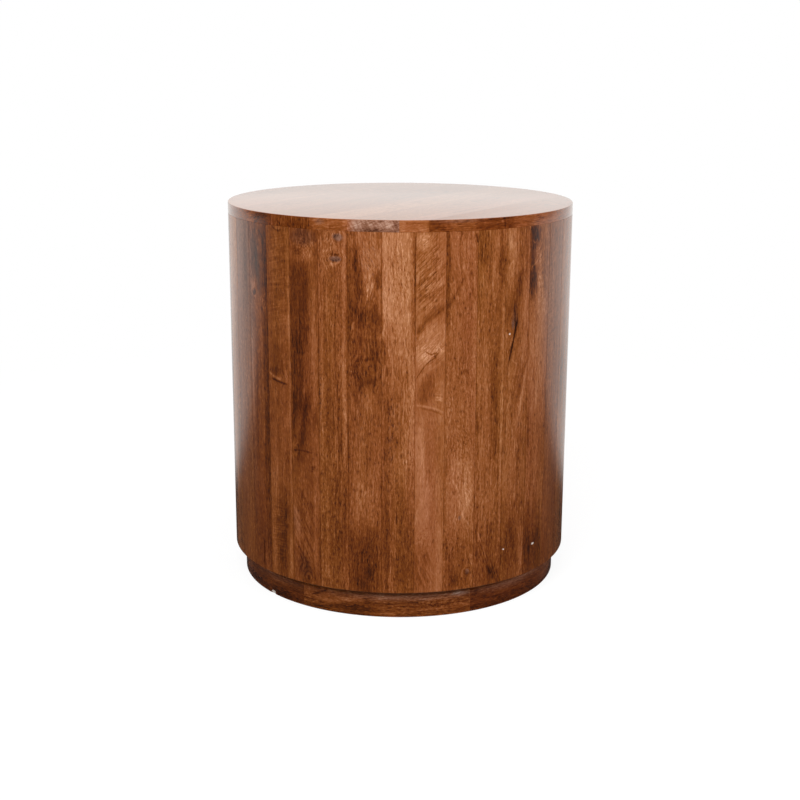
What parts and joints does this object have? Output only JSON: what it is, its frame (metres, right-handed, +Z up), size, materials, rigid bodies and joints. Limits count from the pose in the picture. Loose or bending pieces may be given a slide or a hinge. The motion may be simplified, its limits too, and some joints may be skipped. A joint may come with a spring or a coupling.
{
  "type": "side table",
  "caption": "Round side table: a coopered drum of upright wooden staves with a flush board top, on a recessed plinth.",
  "frame": {"origin": "on the floor, on the drum's axis", "axes": "+Z up, along the drum's axis; -Y towards the side that the picture shows; +X to the right in it"},
  "size_m": [0.45, 0.45, 0.5],
  "materials": {
    "stave_wood": "satin lacquer",
    "top_wood": "satin lacquer",
    "plinth_wood": "satin lacquer",
    "plywood": "unfinished plywood",
    "block_wood": "unfinished softwood",
    "pad_felt": "pressed felt",
    "screw_steel": "zinc plated"
  },
  "bodies": {
    "root": {"base_disc": "plywood", "base_screws": "screw_steel", "felt_pads": "pad_felt", "lower_panel": "plywood", "plinth_glue_blocks": "block_wood", "plinth_segment_1": "plinth_wood", "plinth_segment_2": "plinth_wood", "plinth_segment_3": "plinth_wood", "plinth_segment_4": "plinth_wood", "plinth_segment_5": "plinth_wood", "plinth_segment_6": "plinth_wood", "stave_01": "stave_wood", "stave_02": "stave_wood", "stave_03": "stave_wood", "stave_04": "stave_wood", "stave_05": "stave_wood", "stave_06": "stave_wood", "stave_07": "stave_wood", "stave_08": "stave_wood", "stave_09": "stave_wood", "stave_10": "stave_wood", "stave_11": "stave_wood", "stave_12": "stave_wood", "stave_13": "stave_wood", "stave_14": "stave_wood", "stave_15": "stave_wood", "stave_16": "stave_wood", "stave_17": "stave_wood", "stave_18": "stave_wood", "stave_19": "stave_wood", "stave_20": "stave_wood", "stave_21": "stave_wood", "stave_22": "stave_wood", "stave_23": "stave_wood", "stave_24": "stave_wood", "stave_25": "stave_wood", "stave_26": "stave_wood", "stave_27": "stave_wood", "stave_28": "stave_wood", "stave_29": "stave_wood", "stave_30": "stave_wood", "stave_31": "stave_wood", "stave_32": "stave_wood", "stave_33": "stave_wood", "stave_34": "stave_wood", "stave_35": "stave_wood", "stave_36": "stave_wood", "top_board_1": "top_wood", "top_board_2": "top_wood", "top_board_3": "top_wood", "top_board_4": "top_wood", "top_board_5": "top_wood", "top_board_6": "top_wood", "top_board_7": "top_wood", "top_board_8": "top_wood", "top_screws": "screw_steel", "upper_panel": "plywood"}
  },
  "joints": []
}
